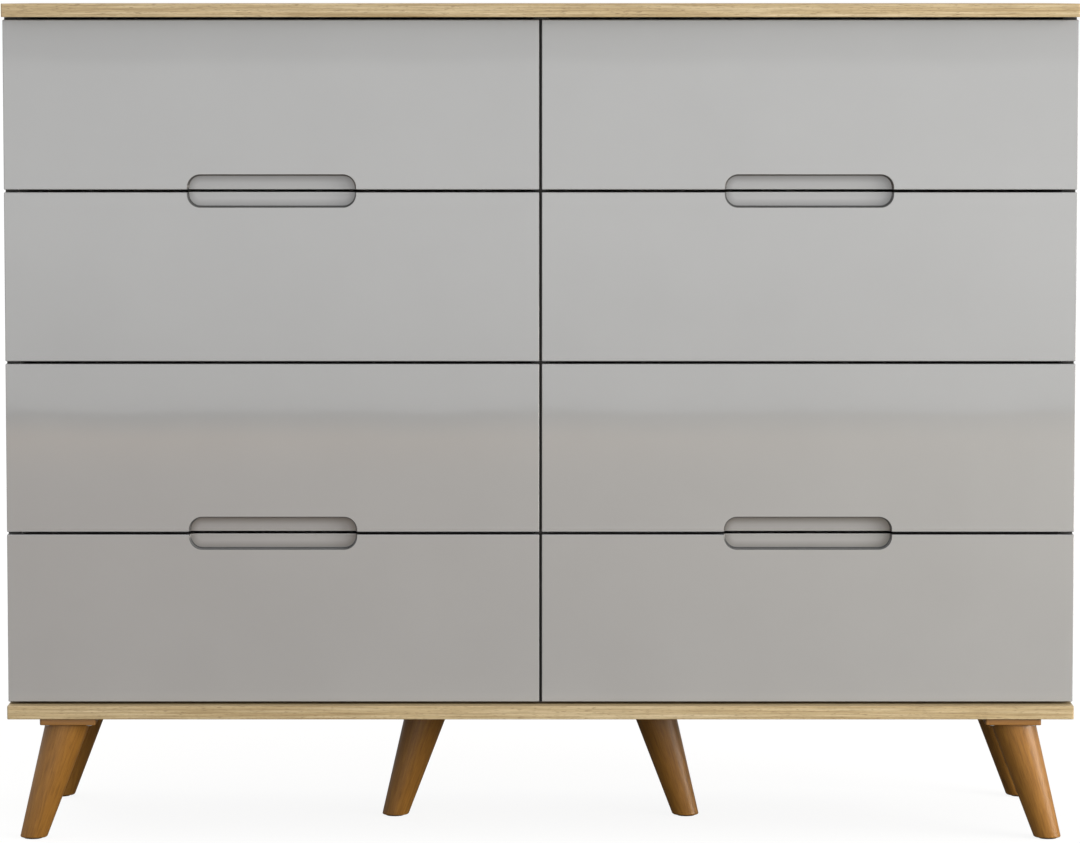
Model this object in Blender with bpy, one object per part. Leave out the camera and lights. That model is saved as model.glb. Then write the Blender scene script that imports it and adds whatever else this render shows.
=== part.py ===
"""Eight-drawer dresser on six splayed legs, modelled as the loose pieces it is assembled from.

Metres, +Z up.  The drawer fronts face -Y and +X is to the right as seen from the front.
The origin is on the floor under the middle of the dresser.
"""

import math

import bmesh
import bpy
from mathutils import Vector

# Overall size.
WIDTH = 1.280
DEPTH = 0.400
LEG_HEIGHT = 0.150
BOARD = 0.016              # thickness of the top, bottom, sides and partition
ROWS = 4
GAP = 0.0003               # kept between pieces that touch
EASED_EDGE = 0.0010        # radius of the edge banding's corners

# Drawer fronts.
FRONT_SETBACK = 0.017      # from the boards' front edge back to the fronts' faces
FRONT_THICKNESS = 0.018
FRONT_HEIGHT = 0.2020
ROW_GAP = 0.0032           # between two fronts, and between a front and a board
COLUMN_GAP = 0.0032        # between the left and right columns
FRONT_EDGE = 0.0015        # radius of the foil-wrapped edge

# Grip recess: one pill shape shared by the two fronts of a pair of rows.
GRIP_LENGTH = 0.200
GRIP_HEIGHT = 0.038
GRIP_RADIUS = 0.015
GRIP_DEPTH = 0.0128
GRIP_ARC_STEPS = 8         # segments in each rounded corner
CUTTER_OVERRUN = 0.005     # how far the recess cutter stands out in front of the fronts

# Cabinet body.
CARCASS_FRONT_SETBACK = 0.037
CARCASS_REAR_SETBACK = 0.004
BACK_THICKNESS = 0.003
BACK_SIDE_INSET = 0.002
BACK_JOINT_GAP = 0.002     # between the left and right back panels

# Drawer box: a folded wrap makes the two sides and the rear, a thin panel makes the bottom.
WRAP_THICKNESS = 0.012
WRAP_HEIGHT = 0.140
WRAP_LENGTH = 0.350
WRAP_LIFT = 0.020          # lower edge of the wrap above the lower edge of its front
GROOVE_DEPTH = 0.005
GROOVE_LIFT = 0.012        # lower face of the bottom panel above the wrap's lower edge
BOTTOM_THICKNESS = 0.003

# Roller runners: the channel fixed to the cabinet.
RUNNER_LENGTH = 0.350
RUNNER_SPACE = 0.0125      # between the cabinet's side and the drawer box
RUNNER_SHEET = 0.0012
RUNNER_HEIGHT = 0.032
RUNNER_FLANGE = 0.0104     # width of the lower flange, which carries the roller
RUNNER_LIP = 0.0080        # width of the upper flange
RUNNER_LIFT = 0.006        # channel's lower edge above the wrap's lower edge
RUNNER_SETBACK = 0.003     # channel's front end behind the cabinet's front edge

# Legs: tapered rounds that lean outwards, each under a square mounting plate.
PLATE_SIZE = 0.067
PLATE_THICKNESS = 0.008
PLATE_CORNER = 0.002
CORNER_LEG_TOP_X = 0.568   # centre of the leg where it meets the plate's level
CENTRE_LEG_TOP_X = 0.1352
CORNER_LEG_Y = 0.161
CENTRE_LEG_Y = 0.008
REAR_LEG_INSET = 0.0035    # the rear legs stand this much nearer the middle than the front ones
LEG_LEAN = 0.307           # sideways run for each unit of height
LEG_FOOT_RADIUS = 0.0155
LEG_TOP_RADIUS = 0.02675
LEG_FOOT_CHAMFER = 0.0015
LEG_SIDES = 28

# Heights and depths that follow from the dimensions above.
BOTTOM_TOP_Z = LEG_HEIGHT + BOARD
OPENING_HEIGHT = ROWS * FRONT_HEIGHT + (ROWS + 1) * ROW_GAP
TOP_UNDER_Z = BOTTOM_TOP_Z + OPENING_HEIGHT
FRONT_Y = -DEPTH / 2 + FRONT_SETBACK
FRONT_BACK_Y = FRONT_Y + FRONT_THICKNESS
CARCASS_FRONT_Y = -DEPTH / 2 + CARCASS_FRONT_SETBACK
CARCASS_REAR_Y = DEPTH / 2 - CARCASS_REAR_SETBACK
FRONT_WIDTH = (WIDTH - COLUMN_GAP) / 2
ROW_PITCH = FRONT_HEIGHT + ROW_GAP

# The inside of each drawer bay lies between the partition and a side panel.
BAY_INNER_X = BOARD / 2
BAY_OUTER_X = WIDTH / 2 - BOARD
BAY_CENTRE_X = (BAY_INNER_X + BAY_OUTER_X) / 2
WRAP_WIDTH = BAY_OUTER_X - BAY_INNER_X - 2 * RUNNER_SPACE

SIDES = {"left": -1, "right": 1}


def clear_scene():
    for old in list(bpy.data.objects):
        bpy.data.objects.remove(old, do_unlink=True)


def make_material(name, colour, roughness, metallic=0.0):
    material = bpy.data.materials.new(name)
    material.use_nodes = True
    shader = material.node_tree.nodes["Principled BSDF"]
    shader.inputs["Base Color"].default_value = (*colour, 1.0)
    shader.inputs["Roughness"].default_value = roughness
    shader.inputs["Metallic"].default_value = metallic
    return material


def add_mesh_object(name, bm, material, location=(0, 0, 0), parent=None):
    """Turn a bmesh into a named object with outward faces and one material."""
    bmesh.ops.recalc_face_normals(bm, faces=bm.faces)
    mesh = bpy.data.meshes.new(name)
    bm.to_mesh(mesh)
    bm.free()
    obj = bpy.data.objects.new(name, mesh)
    obj.location = location
    obj.parent = parent
    if material is not None:
        mesh.materials.append(material)
    bpy.context.scene.collection.objects.link(obj)
    return obj


def add_empty(name, location):
    """A drawer's empty lies on its sliding axis, and its pieces are parented to it."""
    empty = bpy.data.objects.new(name, None)
    empty.location = location
    bpy.context.scene.collection.objects.link(empty)
    return empty


def add_bevel(obj, radius, segments=2):
    bevel = obj.modifiers.new("Eased edges", "BEVEL")
    bevel.width = radius
    bevel.segments = segments
    bevel.limit_method = "ANGLE"
    return bevel


def cut_away(obj, cutter):
    """Subtract a hidden cutter from an object."""
    cutter.hide_render = True
    cutter.display_type = "WIRE"
    boolean = obj.modifiers.new(cutter.name, "BOOLEAN")
    boolean.operation = "DIFFERENCE"
    boolean.solver = "EXACT"
    boolean.object = cutter


def add_slab(name, low, high, material, parent=None, edge=0.0):
    """A board between two opposite corners, its corners given in the parent's space."""
    low = Vector(low)
    high = Vector(high)
    bm = bmesh.new()
    bmesh.ops.create_cube(bm, size=1.0)
    bmesh.ops.scale(bm, vec=high - low, verts=bm.verts)
    slab = add_mesh_object(name, bm, material, (low + high) / 2, parent)
    if edge:
        add_bevel(slab, edge)
    return slab


def extrude_outline(points, direction):
    """Extrude a closed outline of 3-D points along a vector."""
    bm = bmesh.new()
    corners = [bm.verts.new(point) for point in points]
    face = bm.faces.new(corners)
    grown = bmesh.ops.extrude_face_region(bm, geom=[face])
    moved = [item for item in grown["geom"] if isinstance(item, bmesh.types.BMVert)]
    bmesh.ops.translate(bm, vec=direction, verts=moved)
    return bm


def pill_outline(length, height, radius, steps):
    """Rounded rectangle in X and Z around the origin, its corners as arcs."""
    points = []
    for quarter, (side, level) in enumerate(((1, 1), (-1, 1), (-1, -1), (1, -1))):
        centre_x = side * (length / 2 - radius)
        centre_z = level * (height / 2 - radius)
        for step in range(steps + 1):
            angle = (quarter + step / steps) * math.pi / 2
            x = centre_x + radius * math.cos(angle)
            z = centre_z + radius * math.sin(angle)
            points.append((x, 0.0, z))
    return points


def add_boards(oak):
    """Top and bottom boards, which run the full width and stand proud of the fronts."""
    half_x = WIDTH / 2
    half_y = DEPTH / 2
    for name, under_z in (("top_board", TOP_UNDER_Z), ("bottom_board", LEG_HEIGHT)):
        low = (-half_x, -half_y, under_z)
        high = (half_x, half_y, under_z + BOARD)
        add_slab(name, low, high, oak, edge=EASED_EDGE)


def add_uprights(grey):
    """Side panels and the centre partition, standing between the two boards."""
    z_low = BOTTOM_TOP_Z + GAP
    z_high = TOP_UNDER_Z - GAP
    for side, sign in SIDES.items():
        inner_x = sign * BAY_OUTER_X
        outer_x = sign * WIDTH / 2
        low = (min(inner_x, outer_x), CARCASS_FRONT_Y, z_low)
        high = (max(inner_x, outer_x), CARCASS_REAR_Y, z_high)
        add_slab(f"side_panel_{side}", low, high, grey, edge=EASED_EDGE)
    low = (-BOARD / 2, CARCASS_FRONT_Y, z_low)
    high = (BOARD / 2, CARCASS_REAR_Y, z_high)
    add_slab("centre_partition", low, high, grey, edge=EASED_EDGE)


def add_back_panels(hardboard):
    """Two thin panels on the rear edges of the uprights, meeting behind the partition."""
    y_low = CARCASS_REAR_Y + GAP
    for side, sign in SIDES.items():
        edges = sorted((sign * BACK_JOINT_GAP / 2, sign * (WIDTH / 2 - BACK_SIDE_INSET)))
        low = (edges[0], y_low, BOTTOM_TOP_Z + GAP)
        high = (edges[1], y_low + BACK_THICKNESS, TOP_UNDER_Z - GAP)
        add_slab(f"back_panel_{side}", low, high, hardboard)


def add_leg(name, top_x, y, sign, material):
    """A tapered round leg: level rings whose centres follow the lean, chamfered at the foot."""
    lean_cosine = math.cos(math.atan(LEG_LEAN))
    leg_top_z = LEG_HEIGHT - PLATE_THICKNESS - GAP
    foot_x = top_x + LEG_LEAN * LEG_HEIGHT
    taper = (LEG_TOP_RADIUS - LEG_FOOT_RADIUS) / LEG_HEIGHT
    bm = bmesh.new()
    rings = []
    for z in (0.0, LEG_FOOT_CHAMFER, leg_top_z):
        radius = LEG_FOOT_RADIUS + taper * z
        if z == 0.0:
            radius -= LEG_FOOT_CHAMFER
        centre_x = sign * (foot_x - LEG_LEAN * z)
        ring = []
        for step in range(LEG_SIDES):
            angle = step / LEG_SIDES * 2 * math.pi
            x = centre_x + radius / lean_cosine * math.cos(angle)
            ring.append(bm.verts.new((x, y + radius * math.sin(angle), z)))
        rings.append(ring)
    for lower, upper in zip(rings, rings[1:]):
        for step in range(LEG_SIDES):
            following = (step + 1) % LEG_SIDES
            bm.faces.new((lower[step], lower[following], upper[following], upper[step]))
    bm.faces.new(rings[0])
    bm.faces.new(rings[-1])
    leg = add_mesh_object(name, bm, material)
    leg.data.shade_smooth()
    leg.data.set_sharp_from_angle(angle=math.radians(30))


def add_leg_plate(name, top_x, y, sign, material):
    """Square mounting plate between a leg and the bottom board."""
    half = PLATE_SIZE / 2
    centre_x = sign * top_x
    low = (centre_x - half, y - half, LEG_HEIGHT - PLATE_THICKNESS)
    high = (centre_x + half, y + half, LEG_HEIGHT - GAP)
    add_slab(name, low, high, material, edge=PLATE_CORNER)


def add_legs(beech):
    for side, sign in SIDES.items():
        places = {
            "front": (CORNER_LEG_TOP_X, -CORNER_LEG_Y),
            "rear": (CORNER_LEG_TOP_X - REAR_LEG_INSET, CORNER_LEG_Y),
            "centre": (CENTRE_LEG_TOP_X, CENTRE_LEG_Y),
        }
        for place, (top_x, y) in places.items():
            add_leg(f"leg_{place}_{side}", top_x, y, sign, beech)
            add_leg_plate(f"leg_plate_{place}_{side}", top_x, y, sign, beech)


def front_low_z(row):
    """Lower edge of a front; row 1 is the top row."""
    return BOTTOM_TOP_Z + ROW_GAP + (ROWS - row) * ROW_PITCH


def add_grip_cutter(name, column_x, upper_row):
    """Cutter of one pill recess, centred on the gap between a row and the one below it."""
    gap_centre_z = front_low_z(upper_row) - ROW_GAP / 2
    outline = pill_outline(GRIP_LENGTH, GRIP_HEIGHT, GRIP_RADIUS, GRIP_ARC_STEPS)
    bm = extrude_outline(outline, (0, GRIP_DEPTH + CUTTER_OVERRUN, 0))
    return add_mesh_object(name, bm, None, (column_x, FRONT_Y - CUTTER_OVERRUN, gap_centre_z))


def add_front(name, drawer, centre_x, low_z, cutter, gloss_grey):
    """Drawer front with its half of the grip recess."""
    low = Vector((centre_x - FRONT_WIDTH / 2, FRONT_Y, low_z)) - drawer.location
    high = low + Vector((FRONT_WIDTH, FRONT_THICKNESS, FRONT_HEIGHT))
    front = add_slab(name, low, high, gloss_grey, parent=drawer, edge=FRONT_EDGE)
    cut_away(front, cutter)


def add_wrap(name, drawer, white_foil):
    """Sides and rear of a drawer box in one U-shaped piece, grooved for the bottom panel.

    The drawer's empty is at the middle of the wrap's front end, on its lower edge.
    """
    half = WRAP_WIDTH / 2
    inner = half - WRAP_THICKNESS
    rear = WRAP_LENGTH
    start = GAP
    outline = [
        (-half, start, 0), (-inner, start, 0), (-inner, rear - WRAP_THICKNESS, 0),
        (inner, rear - WRAP_THICKNESS, 0), (inner, start, 0), (half, start, 0),
        (half, rear, 0), (-half, rear, 0),
    ]
    bm = extrude_outline(outline, (0, 0, WRAP_HEIGHT))
    wrap = add_mesh_object(name, bm, white_foil, parent=drawer)
    groove = inner + GROOVE_DEPTH
    low = (-groove, -GAP, GROOVE_LIFT - GAP)
    high = (groove, rear - WRAP_THICKNESS + GROOVE_DEPTH, GROOVE_LIFT + BOTTOM_THICKNESS + GAP)
    cut_away(wrap, add_slab(f"cutter_groove_{name}", low, high, None, parent=drawer))


def add_drawer_bottom(name, drawer, hardboard):
    """Thin panel held in the wrap's groove, stopping just behind the front."""
    half = WRAP_WIDTH / 2 - WRAP_THICKNESS + GROOVE_DEPTH - GAP
    rear = WRAP_LENGTH - WRAP_THICKNESS + GROOVE_DEPTH - GAP
    low = (-half, GAP, GROOVE_LIFT)
    high = (half, rear, GROOVE_LIFT + BOTTOM_THICKNESS)
    add_slab(name, low, high, hardboard, parent=drawer)


def add_runner(name, wall_x, towards, wrap_low_z, steel):
    """Channel-section runner on a cabinet wall, open towards the drawer box."""
    web = wall_x + towards * GAP
    z_low = wrap_low_z + RUNNER_LIFT
    z_high = z_low + RUNNER_HEIGHT
    y = CARCASS_FRONT_Y + RUNNER_SETBACK
    section = [
        (0, z_low), (RUNNER_FLANGE, z_low), (RUNNER_FLANGE, z_low + RUNNER_SHEET),
        (RUNNER_SHEET, z_low + RUNNER_SHEET), (RUNNER_SHEET, z_high - RUNNER_SHEET),
        (RUNNER_LIP, z_high - RUNNER_SHEET), (RUNNER_LIP, z_high), (0, z_high),
    ]
    outline = [(web + towards * x, y, z) for x, z in section]
    add_mesh_object(name, extrude_outline(outline, (0, RUNNER_LENGTH, 0)), steel)


def add_drawers(gloss_grey, white_foil, hardboard, steel):
    for side, sign in SIDES.items():
        column_x = sign * (WIDTH / 2 - FRONT_WIDTH / 2)
        cutter = None
        for row in range(1, ROWS + 1):
            if row % 2:
                cutter = add_grip_cutter(f"cutter_grip_{row}_{side}", column_x, row)
            low_z = front_low_z(row)
            wrap_low_z = low_z + WRAP_LIFT
            place = (sign * BAY_CENTRE_X, FRONT_BACK_Y, wrap_low_z)
            drawer = add_empty(f"drawer_{row}_{side}", place)
            add_front(f"front_{row}_{side}", drawer, column_x, low_z, cutter, gloss_grey)
            add_wrap(f"drawer_wrap_{row}_{side}", drawer, white_foil)
            add_drawer_bottom(f"drawer_bottom_{row}_{side}", drawer, hardboard)
            inner_x = sign * BAY_INNER_X
            outer_x = sign * BAY_OUTER_X
            add_runner(f"runner_{row}_{side}_inner", inner_x, sign, wrap_low_z, steel)
            add_runner(f"runner_{row}_{side}_outer", outer_x, -sign, wrap_low_z, steel)


def main():
    clear_scene()
    oak = make_material("oak_decor_laminate", (0.56, 0.42, 0.26), 0.45)
    grey = make_material("grey_melamine_board", (0.47, 0.47, 0.46), 0.40)
    gloss_grey = make_material("gloss_grey_foil", (0.48, 0.48, 0.47), 0.08)
    hardboard = make_material("white_faced_hardboard", (0.80, 0.79, 0.76), 0.55)
    white_foil = make_material("white_foil_chipboard", (0.82, 0.82, 0.80), 0.40)
    beech = make_material("stained_beech", (0.26, 0.12, 0.045), 0.30)
    steel = make_material("white_coated_steel", (0.80, 0.80, 0.79), 0.35)
    add_boards(oak)
    add_uprights(grey)
    add_back_panels(hardboard)
    add_legs(beech)
    add_drawers(gloss_grey, white_foil, hardboard, steel)


main()
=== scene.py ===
import math

import bmesh
import bpy
import numpy as np
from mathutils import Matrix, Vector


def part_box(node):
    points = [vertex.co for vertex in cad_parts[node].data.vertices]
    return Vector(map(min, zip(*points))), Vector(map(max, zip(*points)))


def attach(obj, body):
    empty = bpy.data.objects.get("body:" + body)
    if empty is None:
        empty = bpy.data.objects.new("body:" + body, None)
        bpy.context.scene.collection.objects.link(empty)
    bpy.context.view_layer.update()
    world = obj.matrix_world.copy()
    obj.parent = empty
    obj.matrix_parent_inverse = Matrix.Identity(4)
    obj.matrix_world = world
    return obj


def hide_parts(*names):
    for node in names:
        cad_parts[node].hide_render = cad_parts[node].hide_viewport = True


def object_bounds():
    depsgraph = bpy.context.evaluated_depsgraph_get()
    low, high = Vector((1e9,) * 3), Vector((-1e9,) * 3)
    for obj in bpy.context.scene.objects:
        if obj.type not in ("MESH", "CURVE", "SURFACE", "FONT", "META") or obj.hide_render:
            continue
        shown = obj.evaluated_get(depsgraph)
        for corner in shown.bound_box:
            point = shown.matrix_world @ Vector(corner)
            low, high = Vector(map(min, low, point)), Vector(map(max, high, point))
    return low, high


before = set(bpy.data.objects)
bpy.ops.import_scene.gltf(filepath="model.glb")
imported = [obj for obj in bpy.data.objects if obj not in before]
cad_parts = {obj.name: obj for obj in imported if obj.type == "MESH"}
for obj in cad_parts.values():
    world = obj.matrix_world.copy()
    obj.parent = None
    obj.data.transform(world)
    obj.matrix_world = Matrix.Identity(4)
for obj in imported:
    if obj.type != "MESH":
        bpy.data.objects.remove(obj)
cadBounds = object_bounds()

mm = 0.001
sides = ("left", "right")
rows = (1, 2, 3, 4)                      # row 1 is the top row
legPlaces = ("front", "rear", "centre")
xAxis, yAxis, zAxis = np.eye(3)
upwards = (zAxis, xAxis, yAxis)          # axes of an outline in plan that is carried up
sharpAngle = math.radians(35)            # edges turned further than this stay sharp


# Colours are written as sRGB hex and turned to linear here.
def linear(hexText):
    parts = np.array([int(hexText[i:i + 2], 16) for i in (1, 3, 5)]) / 255
    value = np.where(parts <= 0.04045, parts / 12.92, ((parts + 0.055) / 1.055) ** 2.4)
    return (*value.tolist(), 1.0)


# Adds one shader node. values fill its sockets, links are {socket: (node, output)}, the rest are
# properties. A Mix node's colour sockets are numbers 6 and 7, and its colour comes out of number 2.
def addNode(tree, kind, values=None, links=None, **settings):
    node = tree.nodes.new("ShaderNode" + kind)
    for key, value in settings.items():
        setattr(node, key, value)
    for key, value in (values or {}).items():
        node.inputs[key].default_value = value
    for key, (source, output) in (links or {}).items():
        tree.links.new(source.outputs[output], node.inputs[key])
    return node


# An empty node material and its tree.
def newMaterial(name):
    material = bpy.data.materials.new(name)
    material.use_nodes = True
    material.node_tree.nodes.clear()
    return material, material.node_tree


# Colour stops for a ColorRamp, as (position, hex) pairs.
def setRamp(node, *stops):
    ramp = node.color_ramp
    while len(ramp.elements) < len(stops):
        ramp.elements.new(0.5)
    for element, (place, tone) in zip(ramp.elements, stops):
        element.position = place
        element.color = linear(tone)
    return node


# Noise drawn out along the grain. place gives each point on the grain's own axes, and size is the
# noise's length and width.
def fibreNoise(tree, place, size, detail, distortion=0.0):
    long, wide = size
    mapped = addNode(tree, "Mapping", {"Scale": (1 / long, 1 / wide, 1 / wide)},
                     {"Vector": (place, "Vector")})
    return addNode(tree, "TexNoise", {"Scale": 1.0, "Detail": detail, "Distortion": distortion},
                   {"Vector": (mapped, "Vector")})


# A tone that drifts between a finish's shade and its colour, and the noise that it follows.
def driftingTone(tree, place, finish, scale, detail):
    drift = addNode(tree, "TexNoise", {"Scale": scale, "Detail": detail}, {"Vector": (place, "Object")})
    tone = addNode(tree, "Mix", {6: linear(finish["shade"]), 7: linear(finish["colour"])},
                   {0: (drift, "Fac")}, data_type="RGBA")
    return tone, drift


# Ends a piece's material: a relief as deep as depth times strength, the surface and the output.
def finishSurface(tree, tone, height, strength, depth, values, rippled=("Normal",)):
    bump = addNode(tree, "Bump", {"Strength": strength, "Distance": depth}, {"Height": height})
    links = {"Base Color": tone}
    for socket in rippled:
        links[socket] = (bump, "Normal")
    surface = addNode(tree, "BsdfPrincipled", values, links)
    addNode(tree, "OutputMaterial", links={"Surface": (surface, "BSDF")})


# Faces of a grid of rows by columns, closed round either way if asked.
def gridFaces(rowCount, columnCount, closeRows=False, closeColumns=False):
    r = np.arange(rowCount if closeRows else rowCount - 1)
    c = np.arange(columnCount if closeColumns else columnCount - 1)
    a, b = np.meshgrid(r, c, indexing="ij")
    a2 = (a + 1) % rowCount
    b2 = (b + 1) % columnCount
    quads = np.stack([a * columnCount + b, a * columnCount + b2,
                      a2 * columnCount + b2, a2 * columnCount + b], axis=-1)
    return quads.reshape(-1, 4).tolist()


# A grid of closed sections as points and faces, with one flat face over each end.
def capped(grid):
    count, size = grid.shape[:2]
    faces = gridFaces(count, size, closeColumns=True)
    faces += [list(range(size)), list(range((count - 1) * size, count * size))]
    return grid.reshape(-1, 3), faces


# Rounds a closed outline's corners, given anticlockwise. Each corner is an arc of its own radius:
# centre plus radius times a normal that turns from the first edge's to the next one's. A corner
# of no radius keeps one point, with the normal of its mitre.
def roundedOutline(corners, radii=0.0, steps=4):
    corner = np.array(corners, float)
    radius = np.broadcast_to(np.array(radii, float), len(corner))[:, None]
    toNext = np.roll(corner, -1, 0) - corner
    toNext /= np.linalg.norm(toNext, axis=1, keepdims=True)
    fromLast = np.roll(toNext, 1, 0)
    outward = np.array([[0.0, -1.0], [1.0, 0.0]])
    normalIn, normalOut = fromLast @ outward, toNext @ outward
    cross = fromLast[:, 0] * toNext[:, 1] - fromLast[:, 1] * toNext[:, 0]
    dot = (fromLast * toNext).sum(1)
    turn = np.arctan2(cross, dot)[:, None] * np.linspace(0, 1, steps + 1)[None, :]
    side = np.sign(cross)[:, None]
    mitre = (normalIn + normalOut) / (1 + dot)[:, None]
    normal = np.stack([normalIn[:, :1] * np.cos(turn) - normalIn[:, 1:] * np.sin(turn),
                       normalIn[:, :1] * np.sin(turn) + normalIn[:, 1:] * np.cos(turn)], -1)
    centre = corner - side * radius * mitre
    points = centre[:, None, :] + (side * radius)[:, :, None] * normal
    normals = np.where(radius[:, :, None] > 0, normal, mitre[:, None, :])
    return points.reshape(-1, 2), normals.reshape(-1, 2)


# Carries a closed outline along a straight line from start to end. Close to each end the outline
# shrinks along its normals by r(1 - cos) while it moves by r(1 - sin), which rounds the end's edge.
def carry(outline, start, end, axes, endRadius=0.0, steps=3):
    points, normals = outline
    angle = np.linspace(math.pi / 2, 0, steps + 1) if endRadius else np.zeros(1)
    inset = endRadius * (1 - np.cos(angle))
    near = endRadius * (1 - np.sin(angle))
    inset = np.concatenate([inset, inset[::-1]])
    along = np.concatenate([start + near, (end - near)[::-1]])
    shape = points[None] - normals[None] * inset[:, None, None]
    first, second, third = (np.array(axis, float) for axis in axes)
    return capped(along[:, None, None] * first + shape[..., :1] * second + shape[..., 1:] * third)


# Carries a closed profile (offset outwards, height) round a closed plan outline.
def carryRound(plan, profile):
    planPoints, planNormals = plan
    flat = planPoints[:, None] + planNormals[:, None] * profile[None, :, :1]
    height = np.broadcast_to(profile[None, :, 1:], flat.shape[:2] + (1,))
    grid = np.concatenate([flat, height], -1)
    return grid.reshape(-1, 3), gridFaces(*grid.shape[:2], closeRows=True, closeColumns=True)


# Turns a profile of (radius, height) points round an axis that starts at origin.
def turned(profile, origin, axis, turns=24, relief=None):
    profile = np.array(profile, float)
    axis = np.array(axis, float)
    helper = zAxis if abs(axis[2]) < 0.9 else xAxis
    across = np.cross(axis, helper)
    across /= np.linalg.norm(across)
    other = np.cross(axis, across)
    angle = np.linspace(0, 2 * math.pi, turns, endpoint=False)
    u = profile[:, :1] * np.cos(angle)
    v = profile[:, :1] * np.sin(angle)
    h = np.broadcast_to(profile[:, 1:], u.shape)
    if relief is not None:
        h = h + relief(u, v) * (h > 0)
    grid = np.array(origin) + u[..., None] * across + v[..., None] * other + h[..., None] * axis
    return grid.reshape(-1, 3), gridFaces(len(profile), turns, closeColumns=True)


# Several (points, faces) shapes as one.
def joined(shapes):
    points, faces, start = [], [], 0
    for shapePoints, shapeFaces in shapes:
        points.append(shapePoints)
        faces += [[index + start for index in face] for face in shapeFaces]
        start += len(shapePoints)
    return np.concatenate(points), faces


# One shape at many places: its points plus each place's offset.
def repeated(shape, offsets):
    return joined([(shape[0] + np.array(offset), shape[1]) for offset in offsets])


# A piece at the origin, with its place in its mesh. Doubles are merged and faces turned outwards.
# Sharp edges stay sharp, and flat faces keep flat normals beside their small radii. The last
# argument holds a number for each point, from 0 to 1, for how much painted shade darkens a foil there.
def makePiece(name, shape, material, body, replaced=(), edge=None, factor=None):
    mesh = bpy.data.meshes.new(name)
    mesh.from_pydata(shape[0].tolist(), [], shape[1])
    if factor is not None:
        layer = mesh.attributes.new("factor", "FLOAT", "POINT")
        layer.data.foreach_set("value", factor.astype(np.float32))
    form = bmesh.new()
    form.from_mesh(mesh)
    bmesh.ops.remove_doubles(form, verts=form.verts, dist=2e-6)
    bmesh.ops.recalc_face_normals(form, faces=form.faces)
    form.to_mesh(mesh)
    form.free()
    mesh.shade_smooth()
    mesh.set_sharp_from_angle(angle=sharpAngle)
    mesh.materials.append(material)
    piece = bpy.data.objects.new(name, mesh)
    bpy.context.scene.collection.objects.link(piece)
    if edge:
        bevel = piece.modifiers.new("eased edges", "BEVEL")
        bevel.width = edge
        bevel.segments = 2
        bevel.limit_method = "ANGLE"
        bevel.angle_limit = sharpAngle
    weighted = piece.modifiers.new("flat faces stay flat", "WEIGHTED_NORMAL")
    weighted.keep_sharp = True
    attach(piece, body)
    if replaced:
        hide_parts(*replaced)
    return piece


# Writes each point's place in the timber's own axes (along, across, through the grain), moved by a
# shift of the piece's own so that no two pieces show the same figure.
def setGrain(piece, along, across, shift):
    mesh = piece.data
    flat = np.zeros(len(mesh.vertices) * 3, np.float32)
    mesh.vertices.foreach_get("co", flat)
    along = np.array(along, float) / np.linalg.norm(along)
    across = np.array(across, float) - along * np.dot(along, across)
    across /= np.linalg.norm(across)
    axes = np.stack([along, across, np.cross(along, across)])
    grain = flat.reshape(-1, 3) @ axes.T + np.array(shift)
    layer = mesh.attributes.new("grain", "FLOAT_VECTOR", "POINT")
    layer.data.foreach_set("vector", grain.astype(np.float32).ravel())
    return piece


# The low and high corners of a CAD node's box.
def nodeBox(name):
    low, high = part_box(name)
    return np.array(low), np.array(high)


# The material of a CAD node that stays visible.
def dressNode(name, material):
    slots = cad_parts[name].data.materials
    slots.clear()
    slots.append(material)


# Rectangle corners, anticlockwise.
def rectangle(a0, b0, a1, b1):
    return [(a0, b0), (a1, b0), (a1, b1), (a0, b1)]


# High-gloss foil: a light grey film vacuum-pressed over fibreboard, under a clear lacquer. The
# lacquer mirrors the room sharply, and a faint orange peel ripples the mirror image. Painted shade
# darkens the foil on the fillets, wall and rim of a grip recess, and faintly on its floor.
glossFoil = {"colour": "#9b9c9d", "shade": "#959697", "paintedRecessShade": "#404040", "roughness": 0.30,
             "lacquerRoughness": 0.025, "peelWidth": 7 * mm, "peelDepth": 0.004 * mm}


def makeGlossFoil():
    material, tree = newMaterial("high-gloss grey foil")
    place = addNode(tree, "TexCoord")
    tone, _ = driftingTone(tree, place, glossFoil, 9.0, 3.0)
    # painted shade in the grip recesses: each point's number mixes the dark grey into the foil's tone
    factor = addNode(tree, "Attribute", attribute_name="factor")
    paintedRecessShade = addNode(tree, "Mix", {7: linear(glossFoil["paintedRecessShade"])},
                        {0: (factor, "Fac"), 6: (tone, 2)}, data_type="RGBA")
    peel = addNode(tree, "TexNoise", {"Scale": 1 / glossFoil["peelWidth"], "Detail": 1.0},
                   {"Vector": (place, "Object")})
    finishSurface(tree, (paintedRecessShade, 2), (peel, "Fac"), 1.0, glossFoil["peelDepth"],
                  {"Roughness": glossFoil["roughness"], "IOR": 1.5, "Coat Weight": 1.0,
                   "Coat Roughness": glossFoil["lacquerRoughness"], "Coat IOR": 1.5},
                  ("Normal", "Coat Normal"))
    return material


# Melamine laminate with a printed oak decor, pressed on chipboard: satin, light honey colour, fine
# streaks along the board, dark pores a few millimetres long and now and then a small knot.
oakDecor = {"light": "#d7c6a3", "middle": "#c5af86", "dark": "#a58c60", "pore": "#7f6744",
            "fibreShade": "#d9d4cc", "streakShare": 0.62, "poreDepth": 0.05 * mm, "roughness": 0.38,
            "streak": (210 * mm, 2.6 * mm), "fibre": (40 * mm, 0.9 * mm), "poreSize": (9 * mm, 0.45 * mm),
            "figure": (420 * mm, 26 * mm), "knotCell": (300 * mm, 70 * mm)}


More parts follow.
